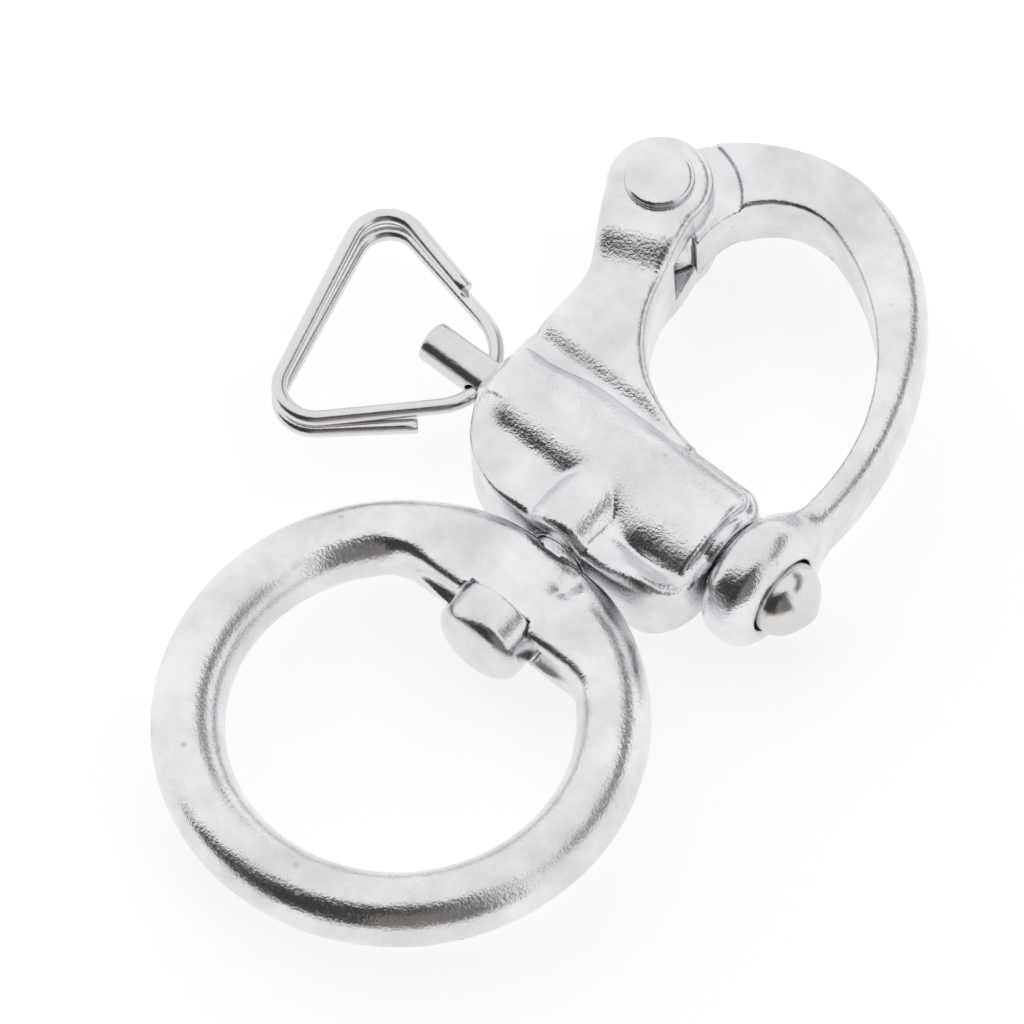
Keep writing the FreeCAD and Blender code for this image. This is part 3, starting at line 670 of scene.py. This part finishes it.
def steel(name, base, worn, roughness, spread, grain, pits, dents=0.0):
    """Polished stainless steel: cloudy roughness, fine buffing grain, dull patches and tiny pits.

    The depths of grain and dents are in millimetres.
    """
    material = bpy.data.materials.new(name)
    material.use_nodes = True
    graph = Graph(material.node_tree)
    nodes, links = graph.nodes, graph.links
    shader = nodes["Principled BSDF"]
    shader.inputs["Metallic"].default_value = 1.0
    place = nodes.new("ShaderNodeTexCoord").outputs["Object"]

    def noise(scale, detail, fineness=0.5):
        """A 3-D noise fixed to the piece."""
        texture = nodes.new("ShaderNodeTexNoise")
        texture.inputs["Scale"].default_value = scale
        texture.inputs["Detail"].default_value = detail
        texture.inputs["Roughness"].default_value = fineness
        links.new(place, texture.inputs["Vector"])
        return texture.outputs["Fac"]

    clouds = noise(CLOUD_SCALE, 5, 0.6)
    specks = noise(SPECK_SCALE, 2, 0.6)
    pit_cells = nodes.new("ShaderNodeTexVoronoi")
    pit_cells.inputs["Scale"].default_value = PIT_SCALE
    links.new(place, pit_cells.inputs["Vector"])
    pit_shape = graph.ranged(pit_cells.outputs["Distance"], 0.05, 0.16, 1, 0)
    pit_patches = graph.ranged(noise(PIT_PATCH_SCALE, 2), 0.56, 0.66)
    pit = graph.math("MULTIPLY", pit_shape, pit_patches)

    wear = graph.math("ADD", graph.ranged(clouds, 0.35, 0.7, 0, 0.75), graph.math("MULTIPLY", pit, pits))
    links.new(graph.mixed(wear, base, worn), shader.inputs["Base Color"])

    rough = graph.ranged(clouds, 0.3, 0.75, roughness, roughness + spread)
    rough = graph.math("ADD", rough, graph.ranged(specks, 0.5, 0.8, 0, spread * 0.8))
    rough = graph.math("ADD", rough, graph.math("MULTIPLY", pit, 0.25 * pits))
    links.new(rough, shader.inputs["Roughness"])

    fine = graph.math("MULTIPLY", specks, grain * MM)
    waves = graph.math("MULTIPLY", noise(WAVE_SCALE, 2), dents * MM)
    holes = graph.math("MULTIPLY", pit, -PIT_DEPTH * pits * MM)
    bump = nodes.new("ShaderNodeBump")
    bump.inputs["Strength"].default_value = 1.0
    bump.inputs["Distance"].default_value = 1.0
    links.new(graph.math("ADD", graph.math("ADD", fine, waves), holes), bump.inputs["Height"])
    links.new(bump.outputs["Normal"], shader.inputs["Normal"])
    return material


CAST = steel("cast_steel_polished", base=(0.85, 0.855, 0.87), worn=(0.60, 0.605, 0.615),
             roughness=0.13, spread=0.14, grain=0.040, pits=1.2, dents=0.020)
EYE_STEEL = steel("eye_steel_polished", base=(0.85, 0.855, 0.87), worn=(0.60, 0.605, 0.615),
                  roughness=0.13, spread=0.13, grain=0.036, pits=1.1, dents=0.018)
TURNED = steel("turned_steel_polished", base=(0.83, 0.835, 0.845), worn=(0.60, 0.60, 0.61),
               roughness=0.14, spread=0.10, grain=0.026, pits=0.5, dents=0.010)
PLUNGER_STEEL = steel("plunger_steel_turned", base=(0.76, 0.75, 0.735), worn=(0.66, 0.65, 0.635),
                      roughness=0.15, spread=0.08, grain=0.016, pits=0.3)
SPRING_STEEL = steel("spring_steel_drawn", base=(0.62, 0.615, 0.61), worn=(0.50, 0.49, 0.48),
                     roughness=0.24, spread=0.12, grain=0.004, pits=0.4)
WIRE_STEEL = steel("wire_steel_drawn", base=(0.77, 0.765, 0.755), worn=(0.67, 0.665, 0.655),
                   roughness=0.15, spread=0.09, grain=0.014, pits=0.3)


# ------------------------------------------------------------------ the pieces

STEP = 0.24
FINE = 0.15

PIECES = [
    (cast_piece("body_casting", body_field, BODY_LOW, BODY_HIGH, STEP),
     "housing", ["body"], "cast_steel", CAST),
    (cast_piece("bail_jaw", bail_field, BAIL_LOW, BAIL_HIGH, STEP),
     "bail", ["bail"], "cast_steel", CAST),
    (cast_piece("eye_ring", eye_field, EYE_LOW, EYE_HIGH, STEP),
     "swivel_eye", ["swivel_eye"], "eye_steel", EYE_STEEL),
    (cast_piece("mushroom_pin", pin_field, PIN_LOW, PIN_HIGH, FINE),
     "housing", ["swivel_pin"], "turned_steel", TURNED),
    (cast_piece("rivet", rivet_field, RIVET_LOW, RIVET_HIGH, FINE),
     "housing", ["pivot_rivet"], "turned_steel", TURNED),
    (cast_piece("plunger_rod", plunger_field, PLUNGER_LOW, PLUNGER_HIGH, FINE),
     "plunger", ["plunger"], "plunger_steel", PLUNGER_STEEL),
    (pull_ring_piece(), "pull_ring", ["pull_ring"], "wire_steel", WIRE_STEEL),
    (spring_piece(), "housing", ["plunger_spring"], "spring_steel", SPRING_STEEL),
]
for piece, body, replaced, slot_name, material in PIECES:
    piece.data.materials.append(material)
    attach(piece, body)
    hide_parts(*replaced)


# ------------------------------------------------------------------ studio

OPENING_FACES = 40                   # degrees round from the front; every angle of the studio is in degrees
OPENING_SIDES = (-52, 79)
OPENING_SLOPE = 3.08                 # rise of the opening's flat top edge, seen straight on
GREY_BAND, GREY_BAND_LIGHT = (28, 55), 0.21
RIGHT_BAND, RIGHT_BAND_LIGHT = (55, 79), 0.13
BACK_PATCH_SIDES, BACK_PATCH_HEIGHT, BACK_PATCH_SHADE = (108, 192), (27, 47), 0.8
WHITE_LIGHT, DARK_LIGHT = 1.0, 0.045
WHITE_TINT, BAND_TINT = (0.99, 0.995, 1.0), (1.0, 0.86, 0.80)

FLOOR_HALF = 0.6                     # metres
FLOOR_GAP = 0.0002
FLOOR_GREY, FLOOR_GLOW = 0.4, 0.73

CAMERA_AROUND, CAMERA_UP, CAMERA_ROLL = 43.8, 60.5, 3.74
CAMERA_AWAY = 3.0                    # metres
CAMERA_TARGET = (-6.2, 22.1, 0)      # millimetres
CAMERA_LENS = 1212


def studio_world():
    """White surroundings with the studio's soft-edged dark front opening, by direction only."""
    world = bpy.data.worlds.new("studio")
    world.use_nodes = True
    bpy.context.scene.world = world
    graph = Graph(world.node_tree)
    nodes, links, calc = graph.nodes, graph.links, graph.math
    background = nodes["Background"]
    split = nodes.new("ShaderNodeSeparateXYZ")
    links.new(nodes.new("ShaderNodeTexCoord").outputs["Generated"], split.inputs[0])
    x, y, z = split.outputs
    azimuth = calc("ARCTAN2", x, calc("MULTIPLY", y, -1.0))
    level = calc("SQRT", calc("ADD", calc("MULTIPLY", x, x), calc("MULTIPLY", y, y)))
    elevation = calc("ARCTAN2", z, level)

    def between(value, low, high, soft):
        """1 between two angles, fading over the soft angle at each end."""
        rise = graph.ranged(value, math.radians(low - soft), math.radians(low + soft), smooth=True)
        fall = graph.ranged(value, math.radians(high - soft), math.radians(high + soft), smooth=True)
        return calc("SUBTRACT", rise, fall)

    # the opening is a flat window that faces one way, so its upper edge is a straight line
    facing = math.radians(OPENING_FACES)
    ahead = calc("ADD", calc("MULTIPLY", x, math.sin(facing)), calc("MULTIPLY", y, -math.cos(facing)))
    under_top = calc("SUBTRACT", calc("MULTIPLY", ahead, OPENING_SLOPE), z)
    top = graph.ranged(under_top, -0.06, 0.06, smooth=True)
    bottom = graph.ranged(elevation, math.radians(-5), math.radians(4), smooth=True)
    opening = calc("MULTIPLY", calc("MULTIPLY", between(azimuth, *OPENING_SIDES, 1.5), top), bottom)
    band = calc("MULTIPLY", between(azimuth, *GREY_BAND, 3), between(elevation, -5, 45, 4))
    right = calc("MULTIPLY", between(azimuth, *RIGHT_BAND, 3), between(elevation, -5, 60, 8))
    turned = calc("WRAP", azimuth, math.tau, 0.0)
    patch = calc("MULTIPLY", between(turned, *BACK_PATCH_SIDES, 10),
                 between(elevation, *BACK_PATCH_HEIGHT, 7))

    inside = calc("ADD", DARK_LIGHT, calc("MULTIPLY", band, GREY_BAND_LIGHT))
    inside = calc("ADD", inside, calc("MULTIPLY", right, RIGHT_BAND_LIGHT))
    light = calc("ADD", WHITE_LIGHT, calc("MULTIPLY", opening, calc("SUBTRACT", inside, WHITE_LIGHT)))
    light = calc("MULTIPLY", light, calc("SUBTRACT", 1.0, calc("MULTIPLY", patch, BACK_PATCH_SHADE)))
    links.new(light, background.inputs["Strength"])
    tint = graph.mixed(calc("MULTIPLY", opening, band), WHITE_TINT, BAND_TINT)
    links.new(tint, background.inputs["Color"])


def studio_floor():
    """A plain white sweep under the shackle, evenly lit by the surroundings."""
    z = CAD_BOUNDS[0][2] - FLOOR_GAP
    half = FLOOR_HALF
    corners = [(-half, -half, z), (half, -half, z), (half, half, z), (-half, half, z)]
    floor = mesh_object("floor", corners, [(0, 1, 2, 3)])
    material = bpy.data.materials.new("white_sweep")
    material.use_nodes = True
    shader = material.node_tree.nodes["Principled BSDF"]
    shader.inputs["Base Color"].default_value = (FLOOR_GREY, FLOOR_GREY, FLOOR_GREY, 1)
    shader.inputs["Roughness"].default_value = 1.0
    shader.inputs["Specular IOR Level"].default_value = 0.0
    shader.inputs["Emission Color"].default_value = (1, 1, 1, 1)
    shader.inputs["Emission Strength"].default_value = FLOOR_GLOW
    floor.data.materials.append(material)


def studio_camera():
    """A long lens above the front, turned so that the plunger's axis runs down to the right."""
    azimuth, elevation = math.radians(CAMERA_AROUND), math.radians(CAMERA_UP)
    back = Vector((math.sin(azimuth) * math.cos(elevation), -math.cos(azimuth) * math.cos(elevation),
                   math.sin(elevation)))
    data = bpy.data.cameras.new("camera")
    data.sensor_width, data.lens = 36, CAMERA_LENS
    data.clip_start, data.clip_end = 0.05, 20
    camera = bpy.data.objects.new("camera", data)
    bpy.context.collection.objects.link(camera)
    place = Vector(CAMERA_TARGET) * MM + back * CAMERA_AWAY
    turned = back.to_track_quat("Z", "Y").to_matrix() @ Matrix.Rotation(-math.radians(CAMERA_ROLL), 3, "Z")
    camera.matrix_world = Matrix.Translation(place) @ turned.to_4x4()
    bpy.context.scene.camera = camera


studio_world()
studio_floor()
studio_camera()
bpy.context.scene.view_settings.view_transform = "Standard"
